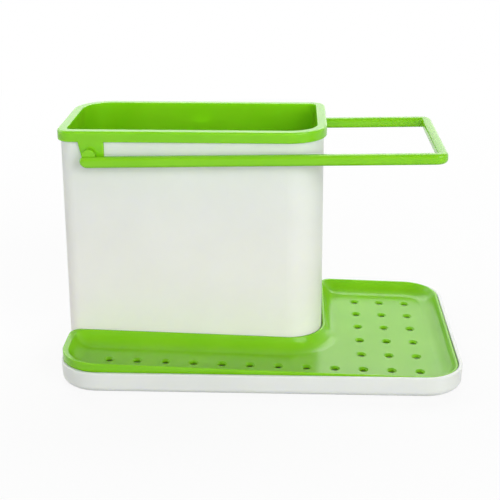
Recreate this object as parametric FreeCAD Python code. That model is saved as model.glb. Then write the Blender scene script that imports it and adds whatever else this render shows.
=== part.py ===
import FreeCAD
import Part
import math
import os

# A kitchen sink caddy, in millimetres: X to the right, Y to the back, Z up.
# The origin is on the worktop, under the middle of the whole caddy.

# Base tray
base_length = 201.75
base_depth = 125.3
base_height = 11.0
base_wall = 1.8
base_floor = 1.7
base_corner = 20.0
base_draft = 0.3
base_bottom_round = 3.2
base_rim_round = 0.5
rib_width = 1.6
rib_bite = 0.4

# Anti-slip pads under the base
pad_diameter = 12.0
pad_thickness = 1.2
pad_proud = 0.3
pad_edge_gap = 22.0
pad_chamfer = 0.25

# Drain tray, which falls to the right and a little to the front
tray_gap = 0.2
tray_seat = 0.4
tray_wall = 1.2
tray_lean = 4.0
tray_floor = 1.6
tray_rim = 6.0
tray_fall_right = 1.6
tray_fall_front = 0.8
tray_cove = 9.0
tray_lip_gap = 0.25
tray_lip_reach = 2.0
tray_edge_round = 0.5
tray_end_round = 6.0
collar_gap = 0.4

# Drain holes in the tray
hole_diameter = 3.4
hole_mouth_diameter = 5.2
hole_mouth_depth = 0.8
hole_pitch_x = 14.29
hole_pitch_y = 16.72
hole_left_gap = 23.75
hole_front_gap = 20.0
hole_edge_gap = 7.0

# Outer bin, wider at its foot than at its mouth
dish_width = 69.6
bin_left_reach = 0.95
bin_front_gap = 42.1
bin_back_gap = 14.7
bin_top = 120.0
bin_draft = 1.0
bin_wall = 1.6
bin_floor = 1.8
bin_small_corner = 7.0
bin_large_corner = 19.0
shoulder_gap = 0.3
spigot_gap = 0.4
runner_height = 0.8
runner_width = 4.0
runner_edge_gap = 4.0
runner_end_gap = 14.0
thumb_width = 15.5
thumb_depth = 8.7

# Slots that let water through the bin's floor and the liner's floor
slot_width = 3.0
slot_columns = 7
slot_end_gap = 24.55
slot_edge_gap = 12.0
slot_row_gap = 8.0

# Liner, the inner bucket that hangs in the bin
flange_overhang = 1.6
flange_thickness = 2.0
flange_round = 1.0
skirt_drop = 5.5
skirt_gap = 0.3
skirt_round = 0.7
mouth_round = 0.4
liner_gap = 0.3
liner_wall = 1.3
liner_floor = 1.6
liner_floor_height = 18.0
liner_draft = 1.4
liner_cove = 2.6

# Lugs under the flange that carry the towel rail
lug_width = 13.4
lug_left_gap = 10.5
lug_drop = 17.0
lug_slant = 2.9
lug_round = 4.0
lug_edge_round = 0.7

# Towel rail
rail_bar_height = 5.5
rail_bar_width = 5.0
rail_edge_round = 1.9
rail_gap = 0.8
rail_corner = 6.0
rail_tail = 4.4
rail_tail_round = 3.5
rail_end_gap = 10.4
rail_rise = 1.1
rail_swing = 100.0

# Rail pivots
pivot_drop = 11.7
pivot_lift = 2.95
pivot_offset = 6.3
hub_diameter = 6.4
hub_gap = 0.15
pin_diameter = 4.2
pin_length = 1.3
pin_gap = 0.05
key_reach = 0.8
key_depth = 0.7
key_gap = 0.1
key_half_angle = 14.0
key_rest_angle = -90.0
key_stop_slack = 0.4

# Cuts run past the faces they open by the overrun, and edges are picked to within the tolerance
overrun = 2.0
edge_tolerance = 0.05

# Shares that keep a rounding within the wall or corner that carries it
wall_round_share = 0.45
corner_round_share = 0.9
tail_round_share = 0.65
least_corner_share = 0.2
slot_end_share = 0.49

# Places worked out from the sizes above
flange_left_reach = flange_overhang - bin_draft + bin_left_reach
left = (max(flange_left_reach, 0) - base_length) / 2
right = left + base_length
front = -base_depth / 2
back = base_depth / 2
floor_top = pad_proud + base_floor
tray_low_floor = floor_top + tray_seat + tray_floor
shoulder_height = base_height + shoulder_gap
bin_left = left - bin_left_reach
bin_right = right - dish_width
bin_front = front + bin_front_gap
bin_back = back - bin_back_gap
bin_middle_x = (bin_left + bin_right) / 2
bin_middle_y = (bin_front + bin_back) / 2
bin_foot = floor_top + runner_height
spigot_inset = base_wall + base_draft + spigot_gap + bin_left_reach
flange_top = bin_top + flange_thickness
skirt_bottom = flange_top - skirt_drop
skirt_wall = flange_overhang - skirt_gap
flange_inset = bin_draft - flange_overhang
liner_inset = bin_draft + bin_wall + liner_gap
flange_front = bin_front + flange_inset
flange_back = bin_back - flange_inset
lug_left = bin_left + flange_inset + lug_left_gap
lug_right = lug_left + lug_width
lug_top = skirt_bottom + skirt_drop / 2
lug_bottom = flange_top - lug_drop
pivot_x = lug_left + pivot_offset
pivot_height = flange_top - pivot_drop
bar_middle = pivot_height - pivot_lift
rail_front = flange_front - rail_gap - rail_bar_width
rail_back = flange_back + rail_gap + rail_bar_width
rail_left = pivot_x - rail_tail
pin_radius = pin_diameter / 2
bore_radius = pin_radius + pin_gap

ALONG_X = FreeCAD.Vector(1, 0, 0)
ALONG_Y = FreeCAD.Vector(0, 1, 0)
UP = FreeCAD.Vector(0, 0, 1)


def rounded_wire(corners, height):
    """A closed level outline through corners of (x, y, radius), with each corner rounded."""
    arcs = []
    count = len(corners)
    for i, (x, y, radius) in enumerate(corners):
        here = FreeCAD.Vector(x, y, height)
        before = FreeCAD.Vector(corners[i - 1][0], corners[i - 1][1], height)
        after = FreeCAD.Vector(corners[(i + 1) % count][0], corners[(i + 1) % count][1], height)
        to_before = (before - here).normalize()
        to_after = (after - here).normalize()
        half_turn = to_before.getAngle(to_after) / 2
        reach = radius / math.tan(half_turn)
        inward = (to_before + to_after).normalize()
        middle = here + inward * (radius / math.sin(half_turn) - radius)
        arcs.append((here + to_before * reach, middle, here + to_after * reach))
    edges = []
    for i, (start, middle, end) in enumerate(arcs):
        edges.append(Part.makeLine(arcs[i - 1][2], start))
        edges.append(Part.Arc(start, middle, end).toShape())
    return Part.Wire(edges)


def inner_radius(radius, inset):
    """A corner's radius after its outline is drawn in, never quite sharp."""
    return max(radius - inset, radius * least_corner_share)


def box_corners(x0, x1, y0, y1, radii):
    """Corners of a rectangle: front left, front right, back right and back left."""
    places = [(x0, y0), (x1, y0), (x1, y1), (x0, y1)]
    return [(x, y, radius) for (x, y), radius in zip(places, radii)]


def base_corners(inset):
    """The base's outline, drawn in all round by inset."""
    radii = [inner_radius(base_corner, inset)] * 4
    return box_corners(left + inset, right - inset, front + inset, back - inset, radii)


def bin_corners(inset):
    """The bin's outline: two opposite corners tight and two generous, like a leaf."""
    tight = inner_radius(bin_small_corner, inset)
    broad = inner_radius(bin_large_corner, inset)
    radii = [tight, broad, tight, broad]
    return box_corners(bin_left + inset, bin_right - inset, bin_front + inset, bin_back - inset, radii)


def prism(corners, bottom, top):
    """A straight-sided solid over an outline."""
    face = Part.Face(rounded_wire(corners, bottom))
    return face.extrude(UP * (top - bottom))


def drafted(low_corners, bottom, high_corners, top):
    """A solid whose sides lean from one outline to another."""
    wires = [rounded_wire(low_corners, bottom), rounded_wire(high_corners, top)]
    return Part.makeLoft(wires, True, True)


def box_between(x0, x1, y0, y1, z0, z1):
    """A plain block between two corners."""
    return Part.makeBox(x1 - x0, y1 - y0, z1 - z0, FreeCAD.Vector(x0, y0, z0))


def level_edges(shape, height):
    """The edges of a shape that lie wholly at one height."""
    found = []
    for edge in shape.Edges:
        heights = [vertex.Z for vertex in edge.Vertexes] + [edge.CenterOfMass.z]
        if max(abs(z - height) for z in heights) < edge_tolerance:
            found.append(edge)
    return found


def fall(shape):
    """Tip a shape with the drain tray, about its low corner at the front right."""
    corner = FreeCAD.Vector(right, front, tray_low_floor)
    shape.rotate(corner, ALONG_Y, tray_fall_right)
    shape.rotate(corner, ALONG_X, tray_fall_front)
    return shape


def tray_corners(inset, lip_reach=0):
    """The tray's outline: a strip before the bin and a dish beside it, perhaps with a lip on the left."""
    gap = base_wall + base_draft + tray_gap + inset
    left_end = left + gap - lip_reach
    bay_gap = collar_gap + inset
    bay_right = bin_right + bay_gap
    bay_front = bin_front - bay_gap
    broad = inner_radius(base_corner, gap)
    return [
        (left_end, front + gap, broad + lip_reach / 2),
        (right - gap, front + gap, broad),
        (right - gap, back - gap, broad),
        (bay_right, back - gap, tray_end_round),
        (bay_right, bay_front, bin_large_corner + bay_gap),
        (left_end, bay_front, tray_end_round),
    ]


def steps(start, end, pitch):
    """Places from start towards end, a pitch apart."""
    count = int((end - start) / pitch) + 1
    return [start + i * pitch for i in range(count)]


def hole_columns():
    """X of each column of drain holes."""
    edge = base_wall + base_draft + tray_gap + tray_wall + tray_lean + hole_edge_gap
    return steps(left + hole_left_gap, right - edge, hole_pitch_x)


def hole_places():
    """Centres of the drain holes: one long row in front, and a grid in the dish beside the bin."""
    edge = tray_wall + tray_lean + hole_edge_gap
    dish_left = bin_right + collar_gap + edge
    dish_back = back - base_wall - base_draft - tray_gap - edge
    rows = steps(front + hole_front_gap, dish_back, hole_pitch_y)
    places = []
    for x in hole_columns():
        for y in rows if x > dish_left else rows[:1]:
            places.append((x, y))
    return places


def drain_hole(x, y):
    """A round hole with a dished mouth, through the tray's floor."""
    under = FreeCAD.Vector(x, y, tray_low_floor - tray_floor - overrun)
    mouth = FreeCAD.Vector(x, y, tray_low_floor - hole_mouth_depth)
    bore = Part.makeCylinder(hole_diameter / 2, tray_floor + overrun + overrun, under)
    cone = Part.makeCone(hole_diameter / 2, hole_mouth_diameter / 2, hole_mouth_depth, mouth)
    return bore.fuse(cone)


def lip_underside():
    """Height, before the tray is tipped, of the lip that lies over the base's left rim."""
    slope = math.radians(tray_fall_right)
    climb = base_height + tray_lip_gap - tray_low_floor - base_length * math.sin(slope)
    return tray_low_floor + climb / math.cos(slope)


def make_drain_tray():
    rim_top = tray_low_floor + tray_rim
    lip_bottom = lip_underside()
    body = drafted(tray_corners(tray_lean), tray_low_floor - tray_floor, tray_corners(0), lip_bottom)
    body = body.fuse(prism(tray_corners(0, tray_lip_reach), lip_bottom, rim_top)).removeSplitter()
    low_corners = tray_corners(tray_wall + tray_lean)
    pocket = drafted(low_corners, tray_low_floor, tray_corners(tray_wall), rim_top)
    tightest = min(radius for _, _, radius in low_corners)
    cove = min(tray_cove, tightest * corner_round_share / math.tan(math.atan(tray_rim / tray_lean) / 2))
    pocket = pocket.makeFillet(cove, level_edges(pocket, tray_low_floor))
    mouth = prism(tray_corners(tray_wall), rim_top, rim_top + overrun)
    body = body.cut(pocket).cut(mouth)
    edge_round = min(tray_edge_round, tray_wall * wall_round_share)
    body = body.makeFillet(edge_round, level_edges(body, rim_top))
    holes = [drain_hole(x, y) for x, y in hole_places()]
    return fall(body.cut(Part.makeCompound(holes)))


def seat_ribs():
    """Ribs on the base's floor, sloped to carry the drain tray and kept clear of the bin."""
    reach = base_depth / 2 - base_wall - base_draft - tray_gap - tray_wall
    ribs = []
    for x in hole_columns()[::2]:
        start = x + hole_pitch_x / 2
        ribs.append(box_between(start, start + rib_width, -reach, reach,
                                floor_top - rib_bite, base_height))
    above = box_between(left - base_length, right + base_length, front - base_depth, back + base_depth,
                        tray_low_floor - tray_floor, base_height + base_length)
    clear = collar_gap + tray_lean
    keep_out = box_between(left - overrun, bin_right + clear, bin_front - clear, back, 0, base_height)
    return Part.makeCompound(ribs).cut(fall(above)).cut(keep_out)


def pad_places():
    """Names and centres of the four pads."""
    x0 = left + pad_edge_gap
    x1 = right - pad_edge_gap
    y = base_depth / 2 - pad_edge_gap
    return {"front_left": (x0, -y), "front_right": (x1, -y), "back_left": (x0, y), "back_right": (x1, y)}


def pad_disc(x, y):
    return Part.makeCylinder(pad_diameter / 2, pad_thickness, FreeCAD.Vector(x, y, 0))


def make_pad(x, y):
    pad = pad_disc(x, y)
    return pad.makeChamfer(min(pad_chamfer, pad_proud), level_edges(pad, 0))


def make_base_tray():
    body = drafted(base_corners(base_draft), pad_proud, base_corners(0), base_height)
    body = body.makeFillet(base_bottom_round, level_edges(body, pad_proud))
    well = drafted(base_corners(base_draft + base_wall), floor_top, base_corners(base_wall), base_height)
    well = well.makeFillet(base_bottom_round - base_wall, level_edges(well, floor_top))
    mouth = prism(base_corners(base_wall), base_height, base_height + overrun)
    body = body.cut(well).cut(mouth)
    rim_round = min(base_rim_round, base_wall * wall_round_share)
    body = body.makeFillet(rim_round, level_edges(body, base_height))
    recesses = [pad_disc(x, y) for x, y in pad_places().values()]
    body = body.cut(Part.makeCompound(recesses))
    return body.fuse(seat_ribs()).removeSplitter()


def slots(bottom, top):
    """Two rows of round-ended slots through a floor."""
    first = bin_left + slot_end_gap
    pitch = (bin_right - slot_end_gap - first) / (slot_columns - 1)
    near = slot_row_gap / 2
    far = bin_middle_y - bin_front - slot_edge_gap
    radii = [slot_width * slot_end_share] * 4
    cuts = []
    for column in range(slot_columns):
        x0 = first + column * pitch - slot_width / 2
        for y0, y1 in ((-far, -near), (near, far)):
            corners = box_corners(x0, x0 + slot_width, bin_middle_y + y0, bin_middle_y + y1, radii)
            cuts.append(prism(corners, bottom - overrun, top + overrun))
    return Part.makeCompound(cuts)


def thumb_notch():
    """A round-bottomed dip in the bin's back edge, to get a thumb under the flange."""
    radius = thumb_width / 2
    depth = bin_wall + bin_draft + overrun + overrun
    start = bin_back - bin_wall - bin_draft - overrun
    centre = FreeCAD.Vector(bin_middle_x, start, bin_top - thumb_depth + radius)
    dip = Part.makeCylinder(radius, depth, centre, ALONG_Y)
    throat = box_between(bin_middle_x - radius, bin_middle_x + radius, start, start + depth,
                         centre.z, bin_top + overrun)
    return dip.fuse(throat)


def runners():
    """Low runners under the bin that hold its floor off the base, so water runs out."""
    x0 = bin_left + spigot_inset + runner_end_gap
    x1 = bin_right - spigot_inset - runner_end_gap
    far = bin_middle_y - bin_front - spigot_inset - runner_edge_gap - runner_width / 2
    strips = []
    for y in (bin_middle_y - far, bin_middle_y, bin_middle_y + far):
        strips.append(box_between(x0, x1, y - runner_width / 2, y + runner_width / 2,
                                  floor_top, bin_foot + bin_floor / 2))
    return strips


def make_outer_bin():
    wall = drafted(bin_corners(0), shoulder_height, bin_corners(bin_draft), bin_top)
    spigot = prism(bin_corners(spigot_inset), bin_foot, shoulder_height)
    room = drafted(bin_corners(bin_wall), shoulder_height + bin_wall,
                   bin_corners(bin_draft + bin_wall), bin_top)
    mouth = prism(bin_corners(bin_draft + bin_wall), bin_top, bin_top + overrun)
    sump = prism(bin_corners(spigot_inset + bin_wall), bin_foot + bin_floor, shoulder_height + bin_wall)
    body = wall.fuse([spigot] + runners())
    body = body.cut(room).cut(mouth).cut(sump)
    body = body.cut(slots(floor_top, bin_foot + bin_floor))
    return body.cut(thumb_notch()).removeSplitter()


def make_lug(y0, y1, outer_y):
    """A lug between two depths: slanted on the left, upright on the right, rounded below and outside."""
    points = [(lug_left, lug_top), (lug_left + lug_slant, lug_bottom),
              (lug_right, lug_bottom), (lug_right, lug_top)]
    wire = Part.makePolygon([FreeCAD.Vector(x, y0, z) for x, z in points + points[:1]])
    lug = Part.Face(wire).extrude(ALONG_Y * (y1 - y0))
    along = [edge for edge in level_edges(lug, lug_bottom) if edge.BoundBox.YLength > edge_tolerance]
    lug = lug.makeFillet(lug_round, along)
    outside = []
    for edge in lug.Edges:
        box = edge.BoundBox
        on_face = max(abs(box.YMin - outer_y), abs(box.YMax - outer_y)) < edge_tolerance
        if on_face and box.ZMin < skirt_bottom and box.XMin > pivot_x:
            outside.append(edge)
    return lug.makeFillet(min(lug_edge_round, skirt_wall * wall_round_share), outside)


def sector(radius, y, thickness, start_angle, end_angle):
    """A slice of a disc about the pivot, seen from the front, with angles from +X towards +Z."""
    def at(angle):
        turn = math.radians(angle)
        return FreeCAD.Vector(pivot_x + radius * math.cos(turn), y,
                              pivot_height + radius * math.sin(turn))

    centre = FreeCAD.Vector(pivot_x, y, pivot_height)
    arc = Part.Arc(at(start_angle), at((start_angle + end_angle) / 2), at(end_angle)).toShape()
    edges = [Part.makeLine(centre, at(start_angle)), arc, Part.makeLine(at(end_angle), centre)]
    return Part.Face(Part.Wire(edges)).extrude(ALONG_Y * thickness)


def pivot_room(face_y, inward):
    """The bore in one lug, and the pocket its stop key turns in; inward is 1 in front and -1 behind."""
    centre = FreeCAD.Vector(pivot_x, face_y, pivot_height)
    bore = Part.makeCylinder(bore_radius, flange_overhang, centre, ALONG_Y * inward)
    start = key_rest_angle - key_half_angle - key_stop_slack
    end = key_rest_angle + key_half_angle + rail_swing + key_stop_slack
    pocket = sector(pin_radius + key_reach + key_gap, face_y, inward * (key_depth + key_gap), start, end)
    return bore.fuse(pocket)


def mouth_edges(body):
    """The edges round the liner's mouth, inside its flange."""
    found = []
    for edge in level_edges(body, flange_top):
        box = edge.BoundBox
        in_length = box.XMin > bin_left + bin_draft and box.XMax < bin_right - bin_draft
        in_depth = box.YMin > bin_front + bin_draft and box.YMax < bin_back - bin_draft
        if in_length and in_depth:
            found.append(edge)
    return found


def make_liner():
    flange = prism(bin_corners(flange_inset), skirt_bottom, flange_top)
    flange = flange.makeFillet(flange_round, level_edges(flange, flange_top))
    edge_round = min(skirt_round, skirt_wall * wall_round_share)
    flange = flange.makeFillet(edge_round, level_edges(flange, skirt_bottom))
    channel = prism(bin_corners(bin_draft - skirt_gap), skirt_bottom - overrun, bin_top)
    low_corners = bin_corners(liner_inset + liner_draft)
    bucket = drafted(low_corners, liner_floor_height, bin_corners(liner_inset), bin_top)
    bucket = bucket.makeFillet(min(liner_cove, bin_small_corner * least_corner_share),
                               level_edges(bucket, liner_floor_height))
    room_floor = liner_floor_height + liner_floor
    room = drafted(bin_corners(liner_inset + liner_draft + liner_wall), room_floor,
                   bin_corners(liner_inset + liner_wall), flange_top + overrun)
    lugs = [make_lug(flange_front, flange_front + skirt_wall, flange_front),
            make_lug(flange_back - skirt_wall, flange_back, flange_back)]
    body = flange.cut(channel).fuse([bucket] + lugs).cut(room)
    body = body.cut(slots(liner_floor_height, room_floor))
    body = body.cut(pivot_room(flange_front, 1)).cut(pivot_room(flange_back, -1)).removeSplitter()
    return body.makeFillet(mouth_round, mouth_edges(body))


def rail_corners():
    """Plan of the rail before its tails are trimmed: a U that opens to the left, around the bin."""
    x0 = rail_left - overrun
    x1 = right - rail_end_gap
    inner_front = rail_front + rail_bar_width
    inner_back = rail_back - rail_bar_width
    inner_x = x1 - rail_bar_width
    inner_corner = inner_radius(rail_corner, rail_bar_width)
    tail_corner = rail_bar_width * least_corner_share
    return [
        (x0, rail_front, tail_corner),
        (x1, rail_front, rail_corner),
        (x1, rail_back, rail_corner),
        (x0, rail_back, tail_corner),
        (x0, inner_back, tail_corner),
        (inner_x, inner_back, inner_corner),
        (inner_x, inner_front, inner_corner),
        (x0, inner_front, tail_corner),
    ]


def tail_trim(low, high, radius):
    """What is taken off the rail's tails: their plain ends, and a rounding that sweeps up from below."""
    y0 = rail_front - overrun
    y1 = rail_back + overrun
    ends = box_between(rail_left - base_length, rail_left, y0, y1, low - overrun, high + overrun)
    under = box_between(rail_left - overrun, rail_left + radius, y0, y1, low - overrun, low + radius)
    centre = FreeCAD.Vector(rail_left + radius, y0, low + radius)
    sweep = Part.makeCylinder(radius, y1 - y0, centre, ALONG_Y)
    return ends.fuse(under.cut(sweep))


def tail_edges(bar, radius):
    """The edges at the trimmed ends of the rail."""
    return [edge for edge in bar.Edges if edge.BoundBox.XMax < rail_left + radius + edge_tolerance]


def rail_pivot(bar_y, face_y, inward):
    """Hub, pin and stop key on one end of the rail."""
    start = bar_y - inward * rail_bar_width / 2
    hub_end = face_y - inward * hub_gap
    pin_end = face_y + inward * pin_length
    centre = FreeCAD.Vector(pivot_x, start, pivot_height)
    axis = ALONG_Y * inward
    hub = Part.makeCylinder(hub_diameter / 2, abs(hub_end - start), centre, axis)
    pin = Part.makeCylinder(pin_radius, abs(pin_end - start), centre, axis)
    key = sector(pin_radius + key_reach, hub_end, inward * (hub_gap + key_depth),
                 key_rest_angle - key_half_angle, key_rest_angle + key_half_angle)
    return [hub, pin, key]


def make_towel_rail():
    low = bar_middle - rail_bar_height / 2
    high = bar_middle + rail_bar_height / 2
    tail_round = min(rail_tail_round, rail_bar_height * tail_round_share)
    edge_round = min(rail_edge_round, rail_bar_width * wall_round_share)
    bar = prism(rail_corners(), low, high).cut(tail_trim(low, high, tail_round)).removeSplitter()
    long_edges = [edge for edge in level_edges(bar, low) + level_edges(bar, high)
                  if edge.BoundBox.XMax > rail_left + tail_round + edge_tolerance]
    bar = bar.makeFillet(edge_round, long_edges + tail_edges(bar, tail_round))
    bar.rotate(FreeCAD.Vector(pivot_x, 0, pivot_height), -ALONG_Y, rail_rise)
    pivots = rail_pivot(rail_front + rail_bar_width, flange_front, 1)
    pivots += rail_pivot(rail_back - rail_bar_width, flange_back, -1)
    return bar.fuse(pivots).removeSplitter()


def main():
    pieces = {
        "base_tray": make_base_tray(),
        "drain_tray": make_drain_tray(),
        "outer_bin": make_outer_bin(),
        "liner": make_liner(),
        "towel_rail": make_towel_rail(),
    }
    for name, (x, y) in pad_places().items():
        pieces["foot_pad_" + name] = make_pad(x, y)
    os.makedirs("parts", exist_ok=True)
    for name, shape in pieces.items():
        shape.exportStep("parts/" + name + ".step")


main()
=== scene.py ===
import math

import bpy
from mathutils import Matrix, Vector


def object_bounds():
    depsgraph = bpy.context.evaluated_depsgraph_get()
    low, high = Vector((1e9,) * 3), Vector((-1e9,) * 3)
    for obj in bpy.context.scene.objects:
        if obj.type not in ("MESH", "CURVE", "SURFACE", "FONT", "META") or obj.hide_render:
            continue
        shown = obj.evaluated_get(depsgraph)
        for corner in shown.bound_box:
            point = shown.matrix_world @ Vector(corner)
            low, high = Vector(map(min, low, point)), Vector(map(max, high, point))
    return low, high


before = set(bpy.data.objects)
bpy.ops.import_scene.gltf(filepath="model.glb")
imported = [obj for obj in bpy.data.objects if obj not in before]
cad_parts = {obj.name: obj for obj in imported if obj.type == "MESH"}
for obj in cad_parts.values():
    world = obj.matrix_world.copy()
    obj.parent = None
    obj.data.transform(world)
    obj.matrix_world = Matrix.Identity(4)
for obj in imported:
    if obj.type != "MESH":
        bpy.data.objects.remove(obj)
cad_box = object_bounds()

# Lengths are in metres, angles in degrees, and colours are linear red, green and blue.

# Camera, placed where the photograph was taken from
camera_place = (0.013523, -0.532004, 0.251218)
camera_yaw = -2.141
camera_pitch = -20.401
camera_roll = -0.073
camera_sensor = 36.0
image_pixels = 500.0
focal_pixels = 1075.844

# Studio: a pale floor that throws back less light than it shows, a white surround
# that is darker in front, and soft lamps given as place, size and watts
floor_half = 6.0
floor_colour = (0.9, 0.9, 0.9, 1.0)
floor_bounce_colour = (0.4, 0.4, 0.4, 1.0)
floor_white_reach = 0.6
floor_white_near = 0.87
white = (1.0, 1.0, 1.0, 1.0)
front_grey = (0.2, 0.2, 0.2, 1.0)
surround_turn = 0.35
ambient_strength = 0.13
lamp_target = (0.0, 0.0, 0.05)
lamps = {
    "front_lamp": ((0.0, -1.3, 0.62), (1.2, 1.0), 9.2),
    "low_front_lamp": ((0.1, -0.75, 0.1), (1.0, 0.16), 0.6),
    "right_lamp": ((0.95, -0.95, 0.6), (0.8, 1.0), 9.9),
    "left_lamp": ((-1.25, 0.1, 0.45), (0.9, 0.8), 5.7),
    "back_lamp": ((0.0, 1.0, 1.0), (2.0, 0.7), 12.5),
    "low_back_lamp": ((0.0, 1.25, 0.42), (3.0, 0.9), 6.0),
}
lamps_in_gloss = ("right_lamp", "left_lamp", "back_lamp", "low_back_lamp")

# Plastics and pads: each colour runs between a deep and a pale shade.
# The bin's shades change from low down to high up: paler low down as painted light,
# and darker and greener high up as painted shade and a painted glow of the green liner through the
# white wall
base_shades = ((0.77, 0.80, 0.755, 1.0), (0.80, 0.83, 0.785, 1.0))
bin_low_painted_light_shades = ((0.885, 0.85, 0.805, 1.0), (0.915, 0.88, 0.835, 1.0))
bin_high_painted_shade_and_glow_shades = ((0.73, 0.775, 0.72, 1.0), (0.76, 0.805, 0.75, 1.0))
lime_shades = ((0.225, 0.605, 0.006, 1.0), (0.255, 0.645, 0.012, 1.0))
# The liner's lime is greener than the rail's as painted light, brightening the shade inside the
# liner
liner_painted_light_shades = ((0.22, 0.63, 0.005, 1.0), (0.25, 0.67, 0.01, 1.0))
# The tray's lime is a tenth deeper than the rail's as painted shade, for the shade low down and
# beside the bin
tray_painted_shade_shades = ((0.203, 0.545, 0.0054, 1.0), (0.23, 0.58, 0.0108, 1.0))
pad_shades = ((0.33, 0.34, 0.33, 1.0), (0.42, 0.43, 0.42, 1.0))
# Heights over which the bin's painted light, painted shade and painted glow change from the low to
# the high shades
painted_light_heights = (0.015, 0.115)

# Roughness, from the glossiest to the dullest place
white_rough = (0.3, 0.4)
lime_rough = (0.16, 0.24)
pad_rough = (0.7, 0.85)

# Grain, in repeats per metre and its depth
white_grain = (1800.0, 0.00002)
lime_grain = (1500.0, 0.000015)
pad_grain = (3000.0, 0.00008)

# Light that seeps through: its share and how deep it goes, and its reach by colour
white_glow = (0.3, 0.003)
lime_glow = (0.45, 0.003)
liner_glow = (0.5, 0.005)
pad_glow = (0.0, 0.001)
glow_reach = (1.0, 1.0, 0.6)

# Strength of the mirroring
plain_shine = 0.5
lime_shine = 0.38
tray_shine = 0.34

# Noises in repeats per metre, with the middle of their values used
cloud_scale = 38.0
cloud_detail = 3.0
gloss_scale = 160.0
gloss_detail = 4.0
grain_detail = 2.0
noise_middle = (0.3, 0.7)


def look(yaw, pitch, roll):
    """Axes of a camera that looks along +Y at rest, turned by yaw, then pitch, then roll."""
    turn = math.radians(yaw)
    tip = math.radians(pitch)
    lean = math.radians(roll)
    ahead = Vector((math.sin(turn) * math.cos(tip), math.cos(turn) * math.cos(tip), math.sin(tip)))
    across = Vector((math.cos(turn), -math.sin(turn), 0.0))
    above = across.cross(ahead)
    right = across * math.cos(lean) + above * math.sin(lean)
    up = above * math.cos(lean) - across * math.sin(lean)
    return Matrix((right, up, -ahead)).transposed()


def make_camera():
    """A camera at the photograph's viewpoint."""
    data = bpy.data.cameras.new("photo_camera")
    data.sensor_width = camera_sensor
    data.lens = focal_pixels / image_pixels * camera_sensor
    camera = bpy.data.objects.new("photo_camera", data)
    turn = look(camera_yaw, camera_pitch, camera_roll)
    camera.matrix_world = Matrix.Translation(camera_place) @ turn.to_4x4()
    bpy.context.scene.collection.objects.link(camera)
    bpy.context.scene.camera = camera


def make_lamp(name, place, size, watts):
    """A soft lamp; those straight in front of the object aren't mirrored in its gloss."""
    data = bpy.data.lights.new(name, "AREA")
    data.shape = "RECTANGLE"
    data.size, data.size_y = size
    data.energy = watts
    lamp = bpy.data.objects.new(name, data)
    lamp.location = place
    lamp.visible_glossy = name in lamps_in_gloss
    lamp.visible_camera = False
    aim = Vector(lamp_target) - Vector(place)
    lamp.rotation_euler = aim.to_track_quat("-Z", "Y").to_euler()
    bpy.context.scene.collection.objects.link(lamp)


def rays(tree, *kinds):
    """A socket that is 1 for rays of any of these kinds."""
    path = tree.nodes.new("ShaderNodeLightPath")
    socket = path.outputs[kinds[0]]
    for kind in kinds[1:]:
        either = tree.nodes.new("ShaderNodeMath")
        either.operation = "MAXIMUM"
        tree.links.new(socket, either.inputs[0])
        tree.links.new(path.outputs[kind], either.inputs[1])
        socket = either.outputs[0]
    return socket


def mapped(tree, socket, span, low, high):
    """A socket's values over a span, spread from low to high."""
    spread = tree.nodes.new("ShaderNodeMapRange")
    spread.inputs["From Min"].default_value, spread.inputs["From Max"].default_value = span
    spread.inputs["To Min"].default_value = low
    spread.inputs["To Max"].default_value = high
    tree.links.new(socket, spread.inputs["Value"])
    return spread.outputs["Result"]


def mixed(tree, factor, first, second):
    """Two shaders mixed by a factor socket."""
    mix = tree.nodes.new("ShaderNodeMixShader")
    tree.links.new(factor, mix.inputs[0])
    tree.links.new(first.outputs[0], mix.inputs[1])
    tree.links.new(second.outputs[0], mix.inputs[2])
    return mix


def blended(tree, factor, first, second):
    """Two colours blended by a factor socket; each is a value or a socket."""
    tint = tree.nodes.new("ShaderNodeMix")
    tint.data_type = "RGBA"
    tree.links.new(factor, tint.inputs["Factor"])
    for colour, socket in ((first, tint.inputs["A"]), (second, tint.inputs["B"])):
        if isinstance(colour, tuple):
            socket.default_value = colour
        else:
            tree.links.new(colour, socket)
    return tint.outputs["Result"]


def surround_colour(tree):
    """White behind the object and grey in front of it."""
    place = tree.nodes.new("ShaderNodeTexCoord")
    split = tree.nodes.new("ShaderNodeSeparateXYZ")
    turn = tree.nodes.new("ShaderNodeMapRange")
    turn.interpolation_type = "SMOOTHSTEP"
    turn.inputs["From Min"].default_value = -surround_turn
    turn.inputs["From Max"].default_value = surround_turn
    tree.links.new(place.outputs["Generated"], split.inputs[0])
    tree.links.new(split.outputs["Y"], turn.inputs["Value"])
    return blended(tree, turn.outputs["Result"], front_grey, white)


def make_world():
    """Weak even light, with a graded surround seen in gloss and plain white for the camera."""
    world = bpy.data.worlds.new("studio")
    world.use_nodes = True
    tree = world.node_tree
    ambient = tree.nodes["Background"]
    ambient.inputs["Color"].default_value = white
    ambient.inputs["Strength"].default_value = ambient_strength
    surround = tree.nodes.new("ShaderNodeBackground")
    tree.links.new(surround_colour(tree), surround.inputs["Color"])
    shown = tree.nodes.new("ShaderNodeBackground")
    shown.inputs["Color"].default_value = white
    lit = mixed(tree, rays(tree, "Is Glossy Ray"), ambient, surround)
    whole = mixed(tree, rays(tree, "Is Camera Ray", "Is Transmission Ray"), lit, shown)
    tree.links.new(whole.outputs[0], tree.nodes["World Output"].inputs["Surface"])
    bpy.context.scene.world = world


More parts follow.
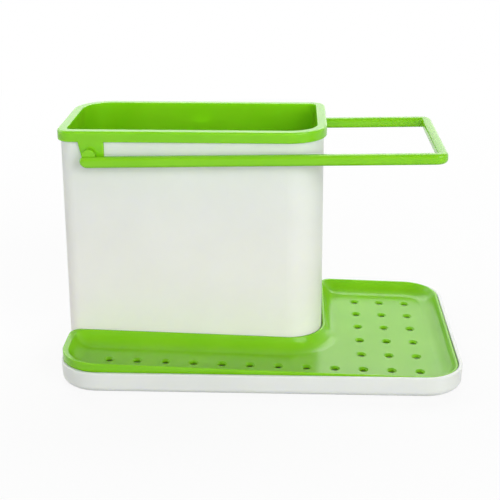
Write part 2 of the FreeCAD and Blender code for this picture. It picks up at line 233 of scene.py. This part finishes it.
def footprint_distance(tree):
    """How far a point of the floor is outside the object's footprint."""
    corner = cad_box[1]
    place = tree.nodes.new("ShaderNodeTexCoord")
    socket = place.outputs["Object"]
    steps = (
        ("ABSOLUTE", None),
        ("SUBTRACT", (corner[0], corner[1], 0.0)),
        ("MAXIMUM", (0.0, 0.0, 0.0)),
        ("LENGTH", None),
    )
    for operation, value in steps:
        step = tree.nodes.new("ShaderNodeVectorMath")
        step.operation = operation
        tree.links.new(socket, step.inputs[0])
        if value is not None:
            step.inputs[1].default_value = value
        socket = step.outputs["Value" if operation == "LENGTH" else "Vector"]
    return socket


def floor_material():
    """Pale and matt, with the object's shadow on it, and shown whiter further from the object."""
    material = bpy.data.materials.new("floor")
    material.use_nodes = True
    tree = material.node_tree
    tree.nodes.clear()
    output = tree.nodes.new("ShaderNodeOutputMaterial")
    matt = tree.nodes.new("ShaderNodeBsdfDiffuse")
    tint = blended(tree, rays(tree, "Is Diffuse Ray"), floor_colour, floor_bounce_colour)
    tree.links.new(tint, matt.inputs["Color"])
    plain = tree.nodes.new("ShaderNodeEmission")
    plain.inputs["Color"].default_value = white
    fade = mapped(tree, footprint_distance(tree), (0.0, floor_white_reach), floor_white_near, 1.0)
    seen = rays(tree, "Is Camera Ray", "Is Glossy Ray", "Is Transmission Ray")
    shown = tree.nodes.new("ShaderNodeMath")
    shown.operation = "MULTIPLY"
    tree.links.new(fade, shown.inputs[0])
    tree.links.new(seen, shown.inputs[1])
    whole = mixed(tree, shown.outputs[0], matt, plain)
    tree.links.new(whole.outputs[0], output.inputs["Surface"])
    return material


def make_floor():
    """A wide square floor at the object's foot."""
    mesh = bpy.data.meshes.new("floor")
    corners = [(-floor_half, -floor_half, 0.0), (floor_half, -floor_half, 0.0),
               (floor_half, floor_half, 0.0), (-floor_half, floor_half, 0.0)]
    mesh.from_pydata(corners, [], [(0, 1, 2, 3)])
    mesh.materials.append(floor_material())
    floor = bpy.data.objects.new("floor", mesh)
    bpy.context.scene.collection.objects.link(floor)


def noise(tree, scale, detail):
    """A noise over the object's own place, in repeats per metre."""
    place = tree.nodes.new("ShaderNodeTexCoord")
    texture = tree.nodes.new("ShaderNodeTexNoise")
    texture.inputs["Scale"].default_value = scale
    texture.inputs["Detail"].default_value = detail
    tree.links.new(place.outputs["Object"], texture.inputs["Vector"])
    return texture.outputs["Fac"]


def height(tree):
    """How far up the object a point is, from 0 low down to 1 near the top."""
    place = tree.nodes.new("ShaderNodeTexCoord")
    split = tree.nodes.new("ShaderNodeSeparateXYZ")
    tree.links.new(place.outputs["Object"], split.inputs[0])
    return mapped(tree, split.outputs["Z"], painted_light_heights, 0.0, 1.0)


def moulded(name, low_shades, high_shades, rough, grain, glow, shine):
    """A moulding: clouds in its colour, uneven gloss, fine grain, and light that seeps through."""
    material = bpy.data.materials.new(name)
    material.use_nodes = True
    tree = material.node_tree
    shader = tree.nodes["Principled BSDF"]
    clouds = mapped(tree, noise(tree, cloud_scale, cloud_detail), noise_middle, 0.0, 1.0)
    low_colour = blended(tree, clouds, *low_shades)
    high_colour = blended(tree, clouds, *high_shades)
    # Only the bin has different low and high shades: its change with height is painted light,
    # painted shade and a painted glow
    colour = blended(tree, height(tree), low_colour, high_colour)
    tree.links.new(colour, shader.inputs["Base Color"])
    gloss = mapped(tree, noise(tree, gloss_scale, gloss_detail), noise_middle, *rough)
    tree.links.new(gloss, shader.inputs["Roughness"])
    grain_scale, grain_depth = grain
    bump = tree.nodes.new("ShaderNodeBump")
    bump.inputs["Strength"].default_value = 1.0
    bump.inputs["Distance"].default_value = grain_depth
    tree.links.new(noise(tree, grain_scale, grain_detail), bump.inputs["Height"])
    tree.links.new(bump.outputs["Normal"], shader.inputs["Normal"])
    shader.inputs["Specular IOR Level"].default_value = shine
    glow_share, glow_depth = glow
    shader.inputs["Subsurface Weight"].default_value = glow_share
    shader.inputs["Subsurface Radius"].default_value = glow_reach
    shader.inputs["Subsurface Scale"].default_value = glow_depth
    return material


def dress(material, *names):
    """Give CAD nodes a material, in every slot."""
    for name in names:
        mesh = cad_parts[name].data
        mesh.materials.clear()
        mesh.materials.append(material)


make_camera()
for name, (place, size, watts) in lamps.items():
    make_lamp(name, place, size, watts)
make_world()
make_floor()

base_white = moulded("base_white", base_shades, base_shades,
                     white_rough, white_grain, white_glow, plain_shine)
# The bin: paler low down as painted light, darker and greener high up as painted shade and a
# painted glow of the liner
bin_white = moulded("bin_white", bin_low_painted_light_shades, bin_high_painted_shade_and_glow_shades,
                    white_rough, white_grain, white_glow, plain_shine)
lime = moulded("lime", lime_shades, lime_shades,
               lime_rough, lime_grain, lime_glow, lime_shine)
# The tray: the rail's lime made deeper as painted shade
tray_lime_painted_shade = moulded("tray_lime_painted_shade", tray_painted_shade_shades, tray_painted_shade_shades,
                    lime_rough, lime_grain, lime_glow, tray_shine)
# The liner: a greener lime as painted light inside it, with more light seeping through its thin
# wall
thin_lime_painted_light = moulded("thin_lime_painted_light", liner_painted_light_shades, liner_painted_light_shades,
                    lime_rough, lime_grain, liner_glow, lime_shine)
pad_rubber = moulded("pad_rubber", pad_shades, pad_shades,
                     pad_rough, pad_grain, pad_glow, plain_shine)
dress(base_white, "base_tray")
dress(bin_white, "outer_bin")
dress(tray_lime_painted_shade, "drain_tray")
dress(lime, "towel_rail")
dress(thin_lime_painted_light, "liner")
dress(pad_rubber, *[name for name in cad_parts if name.startswith("foot_pad")])

bpy.context.scene.view_settings.view_transform = "Standard"
